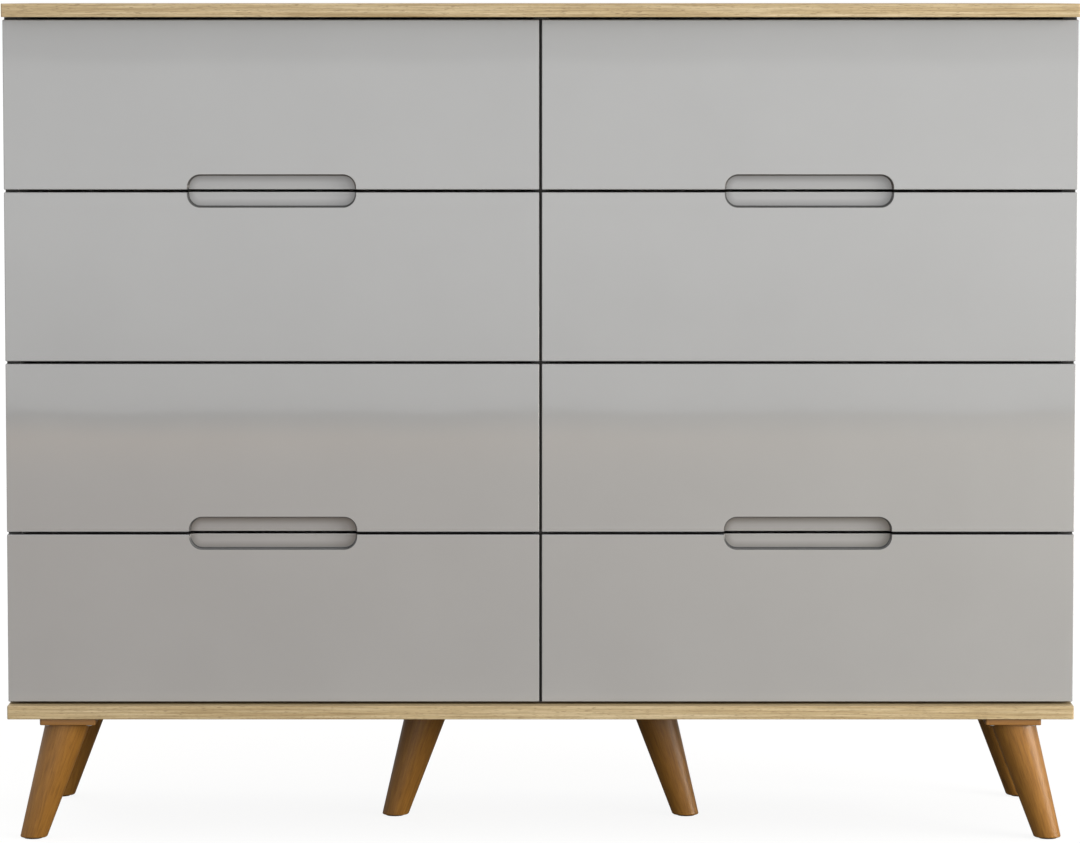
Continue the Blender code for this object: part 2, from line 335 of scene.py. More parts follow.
def makeOakDecor():
    material, tree = newMaterial("oak decor melamine laminate")
    place = addNode(tree, "Attribute", attribute_name="grain")
    figure = fibreNoise(tree, place, oakDecor["figure"], 3.0, 0.6)
    streak = fibreNoise(tree, place, oakDecor["streak"], 5.0)
    fibre = fibreNoise(tree, place, oakDecor["fibre"], 3.0)
    pore = fibreNoise(tree, place, oakDecor["poreSize"], 1.0)
    figureTone = setRamp(addNode(tree, "ValToRGB", links={"Fac": (figure, "Fac")}),
                         (0.30, oakDecor["dark"]), (0.48, oakDecor["middle"]), (0.72, oakDecor["light"]))
    streakTone = setRamp(addNode(tree, "ValToRGB", links={"Fac": (streak, "Fac")}),
                         (0.32, oakDecor["dark"]), (0.50, oakDecor["middle"]), (0.66, oakDecor["light"]))
    body = addNode(tree, "Mix", {0: oakDecor["streakShare"]},
                   {6: (figureTone, "Color"), 7: (streakTone, "Color")}, data_type="RGBA")
    fibreTone = setRamp(addNode(tree, "ValToRGB", links={"Fac": (fibre, "Fac")}),
                        (0.30, oakDecor["fibreShade"]), (0.65, "#ffffff"))
    fibred = addNode(tree, "Mix", {0: 1.0}, {6: (body, 2), 7: (fibreTone, "Color")},
                     data_type="RGBA", blend_type="MULTIPLY")
    poreMask = setRamp(addNode(tree, "ValToRGB", links={"Fac": (pore, "Fac")}),
                       (0.63, "#000000"), (0.70, "#ffffff"))
    pored = addNode(tree, "Mix", {7: linear(oakDecor["pore"])},
                    {0: (poreMask, "Color"), 6: (fibred, 2)}, data_type="RGBA")
    long, wide = oakDecor["knotCell"]
    knotPlace = addNode(tree, "Mapping", {"Scale": (1 / long, 1 / wide, 1 / wide)},
                        {"Vector": (place, "Vector")})
    knot = addNode(tree, "TexVoronoi", {"Scale": 1.0}, {"Vector": (knotPlace, "Vector")})
    knotMask = setRamp(addNode(tree, "ValToRGB", links={"Fac": (knot, "Distance")}),
                       (0.03, "#c0c0c0"), (0.10, "#000000"))
    knotted = addNode(tree, "Mix", {7: linear(oakDecor["pore"])},
                      {0: (knotMask, "Color"), 6: (pored, 2)}, data_type="RGBA")
    finishSurface(tree, (knotted, 2), (streak, "Fac"), 0.35, oakDecor["poreDepth"],
                  {"Roughness": oakDecor["roughness"], "IOR": 1.5})
    return material


# Turned beech, stained brown and sprayed with a satin lacquer: streaks along the leg, and the short
# dark flecks that beech rays leave.
stainedBeech = {"light": "#a3722f", "middle": "#946528", "dark": "#7f5520", "fleck": "#6a4418",
                "roughness": 0.42, "lacquer": 0.3, "lacquerRoughness": 0.3,
                "streak": (90 * mm, 1.8 * mm), "fleckSize": (4 * mm, 0.5 * mm), "grainDepth": 0.06 * mm}


def makeStainedBeech():
    material, tree = newMaterial("stained and lacquered beech")
    place = addNode(tree, "Attribute", attribute_name="grain")
    streak = fibreNoise(tree, place, stainedBeech["streak"], 5.0, 0.5)
    tone = setRamp(addNode(tree, "ValToRGB", links={"Fac": (streak, "Fac")}),
                   (0.28, stainedBeech["dark"]), (0.50, stainedBeech["middle"]),
                   (0.74, stainedBeech["light"]))
    fleck = fibreNoise(tree, place, stainedBeech["fleckSize"], 1.0)
    fleckMask = setRamp(addNode(tree, "ValToRGB", links={"Fac": (fleck, "Fac")}),
                        (0.62, "#000000"), (0.72, "#a0a0a0"))
    flecked = addNode(tree, "Mix", {7: linear(stainedBeech["fleck"])},
                      {0: (fleckMask, "Color"), 6: (tone, "Color")}, data_type="RGBA")
    finishSurface(tree, (flecked, 2), (streak, "Fac"), 0.4, stainedBeech["grainDepth"],
                  {"Roughness": stainedBeech["roughness"], "IOR": 1.5,
                   "Coat Weight": stainedBeech["lacquer"],
                   "Coat Roughness": stainedBeech["lacquerRoughness"], "Coat IOR": 1.5})
    return material


# Foil and melamine boards in one plain colour: satin, with the fine pearl texture that the press
# plate leaves in the resin.
boardFaces = {
    "grey melamine on chipboard": {"colour": "#a4a4a2", "shade": "#9d9d9b", "roughness": 0.42},
    "white foil on chipboard": {"colour": "#d0cfcb", "shade": "#c9c8c3", "roughness": 0.36},
    # painted shade: the uprights' near-black front bands keep the gaps between the fronts dark
    "near-black band as gap shade": {"colour": "#302f2e", "shade": "#292827", "roughness": 0.45},
}
pearl = {"width": 1.2 * mm, "depth": 0.03 * mm}


def makeBoardFace(name):
    face = boardFaces[name]
    material, tree = newMaterial(name)
    place = addNode(tree, "TexCoord")
    tone, _ = driftingTone(tree, place, face, 14.0, 4.0)
    pearls = addNode(tree, "TexVoronoi", {"Scale": 1 / pearl["width"]},
                     {"Vector": (place, "Object")}, feature="SMOOTH_F1")
    finishSurface(tree, (tone, 2), (pearls, "Distance"), 0.5, pearl["depth"],
                  {"Roughness": face["roughness"], "IOR": 1.5})
    return material


# Hardboard, pressed wet from wood fibre and painted on one side: the white face is matt, the other
# side and the edges are brown with short felted fibres.
hardboard = {"paint": "#d9d7d1", "fibreDark": "#957451", "fibreLight": "#aa8862", "roughness": 0.6,
             "fibreLength": 2.5 * mm, "fibreDepth": 0.1 * mm}


# The painted side is the one that faces up or forward.
def makeHardboard():
    material, tree = newMaterial("white-faced hardboard")
    place = addNode(tree, "TexCoord")
    facing = addNode(tree, "SeparateXYZ", links={"Vector": (place, "Normal")})
    forward = addNode(tree, "Math", {1: -1.0}, {0: (facing, "Y")}, operation="MULTIPLY")
    painted = addNode(tree, "Math", links={0: (facing, "Z"), 1: (forward, "Value")},
                      operation="MAXIMUM")
    mask = addNode(tree, "Math", {1: 0.5}, {0: (painted, "Value")}, operation="GREATER_THAN")
    felt = addNode(tree, "TexNoise",
                   {"Scale": 1 / hardboard["fibreLength"], "Detail": 6.0, "Distortion": 1.5},
                   {"Vector": (place, "Object")})
    fibre = setRamp(addNode(tree, "ValToRGB", links={"Fac": (felt, "Fac")}),
                    (0.35, hardboard["fibreDark"]), (0.62, hardboard["fibreLight"]))
    tone = addNode(tree, "Mix", {7: linear(hardboard["paint"])},
                   {0: (mask, "Value"), 6: (fibre, "Color")}, data_type="RGBA")
    finishSurface(tree, (tone, 2), (felt, "Fac"), 0.4, hardboard["fibreDepth"],
                  {"Roughness": hardboard["roughness"], "IOR": 1.5})
    return material


# Sheet steel with white epoxy powder baked on: satin with a fine orange peel.
# Zinc-plated steel: cool grey metal with a slightly uneven plating.
# Moulded polyamide: milky white, a little light passes into it.
# Pressed wool felt: matt, dark, with a fibrous surface.
smallParts = {
    "white epoxy-coated steel": {"colour": "#d8d8d6", "shade": "#d0d0ce", "roughness": 0.34, "metallic": 0.0,
                                 "texture": 1.5 * mm, "relief": 0.02 * mm},
    "zinc-plated steel": {"colour": "#c9cccf", "shade": "#a9adb2", "roughness": 0.32, "metallic": 1.0,
                          "texture": 2.0 * mm, "relief": 0.005 * mm},
    "moulded white polyamide": {"colour": "#eeede8", "shade": "#e4e3dd", "roughness": 0.4, "metallic": 0.0,
                                "texture": 3.0 * mm, "relief": 0.01 * mm, "milkiness": 0.25,
                                "lightReach": 1.5 * mm},
    "pressed brown felt": {"colour": "#5b4a3c", "shade": "#3f3228", "roughness": 0.95, "metallic": 0.0,
                           "texture": 0.6 * mm, "relief": 0.2 * mm},
}


def makeSmallPart(name):
    part = smallParts[name]
    material, tree = newMaterial(name)
    place = addNode(tree, "TexCoord")
    tone, grainy = driftingTone(tree, place, part, 1 / part["texture"], 3.0)
    values = {"Roughness": part["roughness"], "Metallic": part["metallic"]}
    if "milkiness" in part:
        values["Subsurface Weight"] = part["milkiness"]
        values["Subsurface Scale"] = part["lightReach"]
    finishSurface(tree, (tone, 2), (grainy, "Fac"), 0.6, part["relief"], values)
    return material


foil = makeGlossFoil()
oak = makeOakDecor()
beech = makeStainedBeech()
greyBoard = makeBoardFace("grey melamine on chipboard")
whiteBoard = makeBoardFace("white foil on chipboard")
darkBand = makeBoardFace("near-black band as gap shade")
fibreboard = makeHardboard()
coatedSteel, zinc, nylon, felt = (makeSmallPart(name) for name in smallParts)
print("materials made")


board = {"bandThickness": 0.8 * mm, "bandEdge": 0.75 * mm, "cornerRadius": 2 * mm, "slabEdge": 0.15 * mm,
         "glueLine": 0.05 * mm,
         "grainShift": {"top_board": (0.31, 0.07, 0.4), "bottom_board": (1.83, 0.52, 1.1)}}


# A laminated slab, and one edge band carried round it. The band's profile is a thin upright strip
# whose outer two edges are rounded. Its grain runs along the band.
def makeBoard(name):
    low, high = nodeBox(name)
    thick, radius = board["bandThickness"], board["cornerRadius"]
    inner = thick + board["glueLine"]
    slab = roundedOutline(rectangle(low[0] + inner, low[1] + inner, high[0] - inner, high[1] - inner),
                          radius - thick)
    core = makePiece(name + "_core",
                     carry(slab, low[2], high[2], upwards, board["slabEdge"], 1),
                     oak, "carcass", (name,))
    setGrain(core, xAxis, yAxis, board["grainShift"][name])
    plan = roundedOutline(rectangle(low[0], low[1], high[0], high[1]), radius)
    profile, _ = roundedOutline(rectangle(-thick, low[2], 0, high[2]),
                                [0, board["bandEdge"], board["bandEdge"], 0])
    band = makePiece(name + "_edge_band", carryRound(plan, profile), oak, "carcass")
    setGrain(band, xAxis, zAxis, board["grainShift"][name])


for name in board["grainShift"]:
    makeBoard(name)
print("boards made")


upright = {"bandThickness": 0.4 * mm, "edge": 0.3 * mm, "glueLine": 0.05 * mm}


# A grey board with a thin near-black band on its front edge: painted shade that keeps the gaps between the
# fronts dark.
def makeUpright(name):
    low, high = nodeBox(name)
    split = low[1] + upright["bandThickness"]
    core = roundedOutline(rectangle(low[0], split + upright["glueLine"], high[0], high[1]),
                          upright["edge"], 2)
    makePiece(name + "_core", carry(core, low[2], high[2], upwards), greyBoard,
              "carcass", (name,))
    band = roundedOutline(rectangle(low[0], low[1], high[0], split), [upright["edge"]] * 2 + [0, 0], 2)
    makePiece(name + "_edge_band", carry(band, low[2], high[2], upwards), darkBand, "carcass")


for name in ("side_panel_left", "side_panel_right", "centre_partition"):
    makeUpright(name)
for side in sides:
    dressNode("back_panel_" + side, fibreboard)


backFixings = {"nailHead": 2.6 * mm, "nailRise": 0.6 * mm, "nailCount": 9, "nailInset": 40 * mm,
               "nailFromSide": 7 * mm, "nailFromStrip": 2.2 * mm, "stripWidth": 9 * mm,
               "stripHead": 0.6 * mm, "stripWeb": 1.4 * mm, "stripEdge": 0.4 * mm}


# A T-shaped plastic strip closes the joint of the two back panels, and nails run up each edge.
def makeBackFixings():
    low, high = nodeBox("back_panel_left")
    rightEdge = nodeBox("back_panel_right")[1][0]
    half, web = backFixings["stripWidth"] / 2, backFixings["stripWeb"] / 2
    outer = high[1] + 0.1 * mm
    tee = [(-web, low[1] + 0.3 * mm), (web, low[1] + 0.3 * mm), (web, outer), (half, outer),
           (half, outer + backFixings["stripHead"]), (-half, outer + backFixings["stripHead"]),
           (-half, outer), (-web, outer)]
    headEdge = backFixings["stripEdge"]
    strip = carry(roundedOutline(tee, [0, 0, 0, 0, headEdge, headEdge, 0, 0], 2), low[2] + mm,
                  high[2] - mm, upwards)
    makePiece("back_joint_strip", strip, nylon, "carcass")
    radius = backFixings["nailHead"]
    head = turned([(0, 0), (radius, 0), (radius, 0.2 * mm), (radius * 0.7, 0.5 * mm),
                   (0, backFixings["nailRise"])],
                  (0, 0, 0), yAxis, 10)
    heights = np.linspace(low[2] + backFixings["nailInset"], high[2] - backFixings["nailInset"],
                          backFixings["nailCount"])
    inner = half + backFixings["nailFromStrip"]
    lines = [low[0] + backFixings["nailFromSide"], -inner, inner, rightEdge - backFixings["nailFromSide"]]
    places = [(x, high[1], z) for x in lines for z in heights]
    makePiece("back_nails", repeated(head, places), zinc, "carcass")


makeBackFixings()
print("carcass made")


frontShape = {"edge": 1.0 * mm, "gripHalfLength": 100 * mm, "gripHalfHeight": 17.4 * mm,
              "gripRadius": 15 * mm, "gripDepth": 12.8 * mm, "gripFillet": 1.4 * mm, "gripRim": 1.2 * mm,
              "floorEdge": 0.3 * mm, "cornerSteps": 12,
              "sideStart": 0.3, "farEnd": 0.4,      # where the sections begin and end on the outline
              # painted shade: the band on a recess's floor that it reaches, and how dark it is painted on
              # the floor, at the fillet's foot and halfway up the wall
              "shadeBandWidth": 8 * mm, "floorShade": 0.07, "cornerShade": 0.5, "wallShade": 0.2}


# A slab with half of a pill-shaped recess in one long edge. One parameter runs round the half pill
# and, at the same time, round the front's other three edges. The other runs from the recess's floor
# up its wall, over the rim, across the face, over the outer edge and down to the back. Near the
# recessed edge the whole section shrinks along its normals, which rounds that edge too.
def makeFront(row, side):
    name = f"front_{row}_{side}"
    low, high = nodeBox(name)
    shape = frontShape
    edge, fillet, rim = shape["edge"], shape["gripFillet"], shape["gripRim"]
    halfLength, gripRadius = shape["gripHalfLength"], shape["gripRadius"]
    halfWidth, height = (high[0] - low[0]) / 2, high[2] - low[2]
    steps = shape["cornerSteps"]
    part = steps // 3

    # left half: where each section stands on the pill and on the front's outline
    turn = np.linspace(math.pi / 2, 0, 5)
    flat, arc = np.zeros(len(turn)), np.zeros(steps + 1)
    inset = np.concatenate([1 - np.cos(turn), arc])
    rise = np.concatenate([1 - np.sin(turn), arc])
    swing = np.linspace(0, math.pi / 2, steps + 1)
    order = np.arange(steps + 1)
    pillCentre = np.stack([np.concatenate([flat - halfLength, arc - halfLength + gripRadius]),
                           np.concatenate([flat, arc + shape["gripHalfHeight"] - gripRadius])], -1)
    pillRadius = np.concatenate([flat, arc + gripRadius])
    pillWay = np.concatenate([np.stack([flat - 1, flat], -1), np.stack([-np.cos(swing), np.sin(swing)], -1)])
    cornerTurn = np.clip((order - part) / part, 0, 1) * math.pi / 2
    cornerX = np.interp(order, [2 * part, steps], [edge - halfWidth, -shape["farEnd"] * halfWidth])
    cornerT = np.interp(order, [0, part], [shape["sideStart"] * height, height - edge])
    outerCentre = np.stack([np.concatenate([flat + edge - halfWidth, cornerX]),
                            np.concatenate([flat, cornerT])], -1)
    outerWay = np.concatenate([np.stack([flat - 1, flat], -1),
                               np.stack([-np.cos(cornerTurn), np.sin(cornerTurn)], -1)])

    # right half: the left one mirrored
    mirror = np.array([-1.0, 1.0])
    pillCentre, pillWay, outerCentre, outerWay = (
        np.concatenate([left, left[::-1] * mirror]) for left in (pillCentre, pillWay, outerCentre, outerWay))
    inset, rise, pillRadius = (np.concatenate([left, left[::-1]]) for left in (inset, rise, pillRadius))

    # the section: offset from the pill or from the outline, depth, and normal
    quarter = np.linspace(0, math.pi / 2, 5)
    sine, cosine = np.sin(quarter), np.cos(quarter)
    face, floor, back = low[1], low[1] + shape["gripDepth"], high[1]
    offset = np.concatenate([[-fillet - shape["shadeBandWidth"]], fillet * sine - fillet, [0],
                             rim - rim * cosine, edge * sine - edge, [0]])
    depth = np.concatenate([[floor], floor - fillet + fillet * cosine, [(floor + face) / 2],
                            face + rim - rim * sine, face + edge - edge * cosine, [back]])
    normalOut = np.concatenate([[0], -sine, [-1], -cosine, sine, [1]])
    normalDeep = np.concatenate([[-1], -cosine, [0], -sine, -cosine, [1]])
    onPill = np.concatenate([np.ones(12, bool), np.zeros(6, bool)])
    rounding = np.concatenate([np.full(6, shape["floorEdge"]), np.full(12, edge)])
    # painted shade: how dark each point of the section is painted, full on the fillet and the rim, less at
    # the fillet's foot and halfway up the wall, faint on the floor, none on the face, edge and back
    factor = np.concatenate([[shape["floorShade"], shape["cornerShade"]], np.ones(4),
                              [shape["wallShade"]], np.ones(4), np.zeros(7)])

    offset = offset[None] - normalOut[None] * rounding[None] * inset[:, None]
    depth = depth[None] - normalDeep[None] * rounding[None] * inset[:, None]
    pill = pillCentre[:, None] + pillWay[:, None] * (pillRadius[:, None] + offset)[..., None]
    outer = outerCentre[:, None] + outerWay[:, None] * (edge + offset)[..., None]
    plan = np.where(onPill[None, :, None], pill, outer)
    plan[..., 1] += rounding[None] * rise[:, None]
    middle = (low[0] + high[0]) / 2
    gripAtFoot = row % 2 == 1
    z = low[2] + plan[..., 1] if gripAtFoot else high[2] - plan[..., 1]
    grid = np.stack([middle + plan[..., 0], depth, z], -1)

    count, size = grid.shape[:2]
    number = np.arange(count * size).reshape(count, size)
    faces = gridFaces(count, size)
    for ring in (0, size - 1):
        k = np.arange(4)
        faces += np.stack([number[k, ring], number[k + 1, ring],
                           number[count - 2 - k, ring], number[count - 1 - k, ring]], -1).tolist()
        faces.append(number[4:count - 4, ring].tolist())
    faces.append(number[0].tolist() + number[-1][::-1].tolist())
    makePiece(name + "_panel", (grid.reshape(-1, 3), faces), foil, f"drawer_{row}_{side}",
              (name,), factor=np.tile(factor, count))


for row in rows:
    for side in sides:
        makeFront(row, side)
print("fronts made")


leg = {"lean": 0.307, "footRadius": 15.5 * mm, "footEdge": 1.8 * mm, "topEdge": 0.6 * mm,
       "glideHeight": 1.5 * mm, "glideRadius": 11 * mm, "plateEdge": 1.2 * mm, "plateCorner": 2.5 * mm,
       "screwPitch": 25 * mm, "screwHead": 3.8 * mm, "turns": 64}


# A leaning cone: every level is an ellipse whose centre slides sideways with height, and the foot's
# and the top's edges are quarter rounds.
def makeLeg(place, side):
    name = f"leg_{place}_{side}"
    low, high = nodeBox(name)
    outward = -1 if side == "left" else 1
    factor = math.hypot(1, leg["lean"])
    centreY = (low[1] + high[1]) / 2
    topRadius = (high[1] - low[1]) / 2
    footX = (high[0] if outward > 0 else low[0]) - outward * leg["footRadius"] * factor
    bottom = low[2] + leg["glideHeight"]
    quarter = np.linspace(0, math.pi / 2, 5)
    footRound, topRound = leg["footEdge"], leg["topEdge"]
    level = np.concatenate([[bottom], bottom + footRound * (1 - np.cos(quarter)),
                            high[2] - topRound * (1 - np.sin(quarter)), [high[2]]])
    shrink = np.concatenate([[0], footRound * (1 - np.sin(quarter)), topRound * (1 - np.cos(quarter)),
                             [0]])
    taper = topRadius - leg["footRadius"]
    radius = leg["footRadius"] + taper * (level - low[2]) / (high[2] - low[2]) - shrink
    radius[[0, -1]] = 0
    angle = np.linspace(0, 2 * math.pi, leg["turns"], endpoint=False)
    centreX = footX - outward * leg["lean"] * (level - low[2])
    grid = np.stack([centreX[:, None] + factor * radius[:, None] * np.cos(angle),
                     centreY + radius[:, None] * np.sin(angle),
                     np.broadcast_to(level[:, None], (len(level), leg["turns"]))], -1)
    faces = gridFaces(len(level), leg["turns"], closeColumns=True)
    piece = makePiece(name + "_turned", (grid.reshape(-1, 3), faces), beech, "carcass",
                      (name,))
    shift = 0.4 * legPlaces.index(place) + (0.17 if side == "left" else 0.93)
    setGrain(piece, (-outward * leg["lean"], 0, 1), yAxis, (shift, shift * 1.7, 0))
    pad = leg["glideRadius"]
    glide = turned([(0, 0), (pad - 0.4 * mm, 0), (pad, 0.3 * mm), (pad, leg["glideHeight"]),
                    (0, leg["glideHeight"])], (footX, centreY, low[2]), zAxis, 32)
    makePiece(name + "_glide", glide, felt, "carcass")


# A square plate with rounded corners and eased edges. Returns the middle of its lower face.
def makeLegPlate(place, side):
    name = f"leg_plate_{place}_{side}"
    low, high = nodeBox(name)
    outline = roundedOutline(rectangle(low[0], low[1], high[0], high[1]), leg["plateCorner"])
    plate = carry(outline, low[2], high[2], upwards, leg["plateEdge"])
    piece = makePiece(name + "_block", plate, beech, "carcass", (name,))
    shift = 1.9 + 0.3 * legPlaces.index(place) + (0.1 if side == "left" else 0.7)
    setGrain(piece, xAxis, yAxis, (shift, shift, 0))
    return (low + high) / 2 * (1, 1, 0) + (0, 0, low[2])


# Depth of a cross recess at (u, v) on a screw's head.
def crossRecess(size):
    def relief(u, v):
        arms = np.maximum(np.abs(u), np.abs(v)) < 0.62 * size
        thin = np.minimum(np.abs(u), np.abs(v)) < 0.17 * size
        return np.where(arms & thin, -0.35 * size, 0.0)
    return relief


# A pan-head screw: a low dome with a cross recess, standing on its surface.
def screwHead(radius, axis):
    reach = np.array([0, 0.2, 0.45, 0.65, 0.85, 1.0, 1.0, 0]) * radius
    dome = np.append(0.55 * radius * np.sqrt(1 - (0.92 * reach[:-2] / radius) ** 2), [0, 0])
    return turned(np.stack([reach, dome], -1), (0, 0, 0), axis, 16, crossRecess(radius))


plateScrews = []
for side in sides:
    for place in legPlaces:
        makeLeg(place, side)
        centre = makeLegPlate(place, side)
        plateScrews += [centre + (a * leg["screwPitch"], b * leg["screwPitch"], 0)
                        for a in (-1, 1) for b in (-1, 1)]
makePiece("leg_plate_screws", repeated(screwHead(leg["screwHead"], -zAxis), plateScrews), zinc, "carcass")
print("legs made")


wrap = {"thickness": 12 * mm, "grooveDepth": 5 * mm, "grooveLift": 12 * mm, "bottomThickness": 3 * mm,
        "groovePlay": 0.3 * mm, "edge": 0.6 * mm, "camRadius": 7.5 * mm, "camRise": 0.3 * mm,
        "camFoot": 0.05 * mm, "camSetback": 24 * mm, "camHeights": (38 * mm, 104 * mm)}


# Two sides and the rear in one folded board: the section with its bottom groove is carried along a
# U-shaped path and mitred at the folds.
def makeWrap(row, side):
    name = f"drawer_wrap_{row}_{side}"
    low, high = nodeBox(name)
    thick, deep = wrap["thickness"], wrap["grooveDepth"]
    grooveLow = wrap["grooveLift"] - wrap["groovePlay"]
    grooveHigh = wrap["grooveLift"] + wrap["bottomThickness"] + wrap["groovePlay"]
    tall = high[2] - low[2]
    section = np.array([(0, 0), (thick, 0), (thick, grooveLow), (thick - deep, grooveLow),
                        (thick - deep, grooveHigh), (thick, grooveHigh), (thick, tall), (0, tall)])
    path = np.array([(low[0], low[1]), (low[0], high[1]), (high[0], high[1]), (high[0], low[1])])
    inward = np.array([(1, 0), (1, -1), (-1, -1), (-1, 0)])
    plan = path[:, None] + inward[:, None] * section[None, :, :1]
    z = np.broadcast_to(low[2] + section[None, :, 1:], plan.shape[:2] + (1,))
    body = f"drawer_{row}_{side}"
    makePiece(name + "_folded", capped(np.concatenate([plan, z], -1)), whiteBoard, body,
              (name,), edge=wrap["edge"])
    dressNode(f"drawer_bottom_{row}_{side}", fibreboard)

    # cam locks that draw the sides to the front, seen on the inner faces
    radius, rise, foot = wrap["camRadius"], wrap["camRise"], wrap["camFoot"]
    profile = [(0, rise), (radius * 0.3, rise), (radius * 0.55, rise), (radius - rise, rise), (radius, foot),
               (0, foot)]
    cams = []
    for x, way in ((low[0] + thick, 1), (high[0] - thick, -1)):
        cam = turned(profile, (0, 0, 0), (way, 0, 0), 24)
        places = [(x, low[1] + wrap["camSetback"], low[2] + h) for h in wrap["camHeights"]]
        cams.append(repeated(cam, places))
    makePiece(f"drawer_cams_{row}_{side}", joined(cams), zinc, body)


for row in rows:
    for side in sides:
        makeWrap(row, side)
print("drawer boxes made")


# Distances from the cabinet's wall and heights above the channel's lower edge.
runner = {"sheet": 1.2 * mm, "flange": 10.4 * mm, "lip": 8 * mm, "height": 32 * mm,
          "frontRoller": 9 * mm, "rearRoller": 11 * mm, "rollerWidth": 7 * mm,
          "slideFace": 10.9 * mm, "slideTip": 3.2 * mm, "slideTop": 20.8 * mm, "slideFoot": 3 * mm,
          "rollerRoom": 6 * mm, "flangeRamp": 8 * mm, "flangeRest": 0.03, "slideScrewHeight": 10 * mm,
          "screwRadius": 3.4 * mm, "channelScrews": (0.12, 0.52, 0.88), "slideScrews": (0.06, 0.42, 0.78)}


# A wheel between h = -w/2 and w/2: raised hub, recessed web and a rim with a slight crown.
def rollerShape(radius, centre, way):
    half = runner["rollerWidth"] / 2
    web = half - 0.7 * mm
    side = [(0, half), (0.36 * radius, half), (0.40 * radius, web), (0.72 * radius, web),
            (0.77 * radius, half), (radius - 0.7 * mm, half), (radius - 0.2 * mm, half - 0.5 * mm)]
    profile = [(r, -h) for r, h in side] + [(radius, 0)] + side[::-1]
    return turned(profile, centre, way, 32)


# The cabinet's channel with its front roller, and the drawer's angle that runs on it with its own
# roller at the rear. Both are sheet profiles carried along Y.
def makeRunner(row, side, place):
    low, high = nodeBox(f"runner_{row}_{side}_{place}")
    wrapLow, wrapHigh = nodeBox(f"drawer_wrap_{row}_{side}")
    way = 1.0 if (wrapLow[0] + wrapHigh[0]) > (low[0] + high[0]) else -1.0
    wall = low[0] if way > 0 else high[0]
    toDrawer = np.array([way, 0, 0])
    origin = np.array([wall, 0, low[2]])
    axes = (yAxis, toDrawer, zAxis)
    sheet, flange, lip, tall = runner["sheet"], runner["flange"], runner["lip"], runner["height"]

    # moves a shape from the wall's own place into the room
    def placed(shape):
        return shape[0] + origin, shape[1]

    channel = roundedOutline([(0, 0), (flange, 0), (flange, sheet), (sheet, sheet), (sheet, tall - sheet),
                              (lip, tall - sheet), (lip, tall), (0, tall)],
                             np.array([2, 0.3, 0.3, 0.8, 0.8, 0.3, 0.3, 2]) * mm, 3)
    makePiece(f"runner_{row}_{side}_{place}_channel", placed(carry(channel, low[1], high[1], axes)),
              coatedSteel, "carcass", (f"runner_{row}_{side}_{place}",))
    rollerX = sheet + 0.4 * mm + runner["rollerWidth"] / 2
    front = np.array([0, low[1] + runner["frontRoller"] + 3 * mm, sheet + 0.1 * mm + runner["frontRoller"]])
    frontRoller = placed(rollerShape(runner["frontRoller"], front + toDrawer * rollerX, toDrawer))
    rivetProfile = [(0, 0), (2.4 * mm, 0), (2.4 * mm, 0.5 * mm), (1.5 * mm, 1.0 * mm), (0, 1.1 * mm)]
    rollerFace = rollerX + runner["rollerWidth"] / 2
    frontRivet = placed(turned(rivetProfile, front + toDrawer * rollerFace, toDrawer, 16))
    span = high[1] - low[1]
    screw = screwHead(runner["screwRadius"], toDrawer)
    channelScrews = placed(repeated(screw, [toDrawer * sheet + (0, low[1] + k * span, 0.5 * tall)
                                            for k in runner["channelScrews"]]))

    slideFace, tip, top, foot = (runner[key] for key in ("slideFace", "slideTip", "slideTop", "slideFoot"))
    outline, _ = roundedOutline([(slideFace + sheet, foot), (slideFace + sheet, top), (tip, top),
                                 (tip, top - sheet), (slideFace, top - sheet), (slideFace, foot)],
                                np.array([0.3, 2, 0.3, 0.3, 0.8, 0.3]) * mm, 3)
    start, end = wrapLow[1] + mm, wrapHigh[1] - mm
    flangeEnd = end - 2 * runner["rearRoller"] - runner["rollerRoom"]
    alongY = np.array([start, flangeEnd - runner["flangeRamp"], flangeEnd, end])
    keep = np.array([1, 1, runner["flangeRest"], runner["flangeRest"]])[:, None]
    out, up = outline[None, :, 0], outline[None, :, 1:]
    out = np.where(out < slideFace, slideFace - (slideFace - out) * keep, out)
    slide = placed(capped(alongY[:, None, None] * yAxis + out[..., None] * toDrawer + up * zAxis))
    rearX = slideFace - 0.3 * mm - runner["rollerWidth"] / 2
    rear = np.array([0, end - runner["rearRoller"] - mm, sheet + 0.15 * mm + runner["rearRoller"]])
    rearRoller = placed(rollerShape(runner["rearRoller"], rear + toDrawer * rearX, toDrawer))
    rearFace = rearX - runner["rollerWidth"] / 2
    rearRivet = placed(turned(rivetProfile, rear + toDrawer * rearFace, -toDrawer, 16))
    slideScrews = placed(repeated(screwHead(runner["screwRadius"] * 0.9, -toDrawer),
                                  [toDrawer * slideFace + (0, start + k * (end - start),
                                                           runner["slideScrewHeight"])
                                   for k in runner["slideScrews"]]))
    return {"frontRollers": frontRoller, "carcassMetal": [frontRivet, channelScrews], "slides": slide,
            "rearRollers": rearRoller, "drawerMetal": [rearRivet, slideScrews]}


frontRollers, carcassMetal = [], []
for row in rows:
    for side in sides:
        pair = [makeRunner(row, side, place) for place in ("inner", "outer")]
        frontRollers += [one["frontRollers"] for one in pair]
        carcassMetal += sum((one["carcassMetal"] for one in pair), [])
        body = f"drawer_{row}_{side}"
        makePiece(f"drawer_slides_{row}_{side}", joined([one["slides"] for one in pair]), coatedSteel, body)
        makePiece(f"drawer_rollers_{row}_{side}", joined([one["rearRollers"] for one in pair]), nylon, body)
        drawerMetal = sum((one["drawerMetal"] for one in pair), [])
        makePiece(f"drawer_screws_{row}_{side}", joined(drawerMetal), zinc, body)
makePiece("channel_rollers", joined(frontRollers), nylon, "carcass")
makePiece("channel_screws", joined(carcassMetal), zinc, "carcass")
print("runners made")


